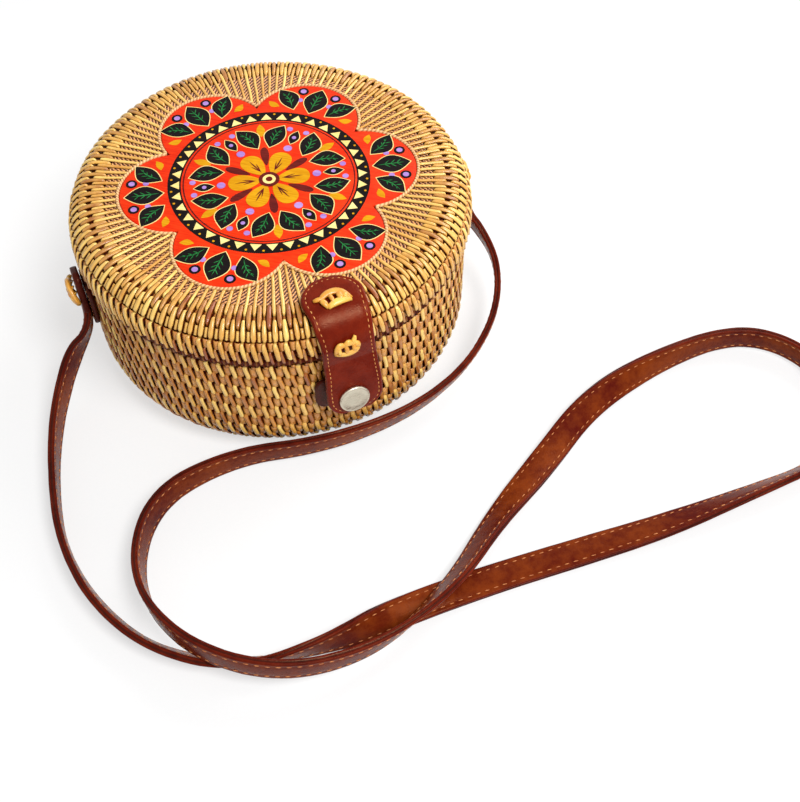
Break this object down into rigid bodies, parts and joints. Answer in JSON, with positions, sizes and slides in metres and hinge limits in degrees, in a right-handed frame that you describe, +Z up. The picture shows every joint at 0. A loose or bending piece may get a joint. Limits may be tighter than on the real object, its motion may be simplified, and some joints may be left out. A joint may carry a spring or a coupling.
{
  "type": "round rattan shoulder bag",
  "caption": "Round woven rattan bag with a hinged lid, a lobed painted plaque, a leather flap with a snap, and a long flat leather shoulder strap.",
  "frame": {"origin": "middle of the flat bottom that the bag rests on", "axes": "+Z up through the middle of the lid, -Y towards the flap and its snap, +X to the right seen from the front"},
  "size_m": [0.353, 0.2902, 0.0936],
  "materials": {
    "brown_leather": "glossy, stitched",
    "woven_rattan": "varnished weave",
    "rattan_cane": "varnished",
    "rattan_knot": "varnished",
    "lining_cloth": "matte",
    "snap_metal": "satin",
    "painted_wood": "gloss paint"
  },
  "bodies": {
    "base": {"base_basket": "woven_rattan", "base_rim_cane": "rattan_cane", "base_lining": "lining_cloth", "catch_patch": "brown_leather", "catch_patch_knot": "rattan_knot", "snap_stud": "snap_metal", "snap_rivet": "snap_metal", "left_strap_tab": "brown_leather", "right_strap_tab": "brown_leather", "left_strap_end": "brown_leather", "right_strap_end": "brown_leather", "left_strap_knot": "rattan_knot", "right_strap_knot": "rattan_knot", "shoulder_strap": "brown_leather", "hinge_lower_leaf": "brown_leather", "hinge_lower_knot": "rattan_knot"},
    "lid": {"lid_basket": "woven_rattan", "lid_rim_cane": "rattan_cane", "lid_lining": "lining_cloth", "painted_plaque": "painted_wood", "plaque_edge_coil": "rattan_cane", "closure_flap_anchor": "brown_leather", "closure_knot_top": "rattan_knot", "closure_knot_front": "rattan_knot", "hinge_upper_leaf": "brown_leather", "hinge_upper_knot": "rattan_knot"},
    "flap": {"closure_flap_tongue": "brown_leather", "snap_cap": "snap_metal", "snap_socket": "snap_metal"}
  },
  "joints": [
    {"name": "lid_hinge", "type": "hinge", "parent": "base", "child": "lid", "pos_m": [0, 0.0915, 0.0643], "axis": [-1, 0, 0], "range_deg": [0, 100]},
    {"name": "flap_hinge", "type": "hinge", "parent": "lid", "child": "flap", "pos_m": [0, -0.0916, 0.0666], "axis": [-1, 0, 0], "range_deg": [0, 95]}
  ]
}
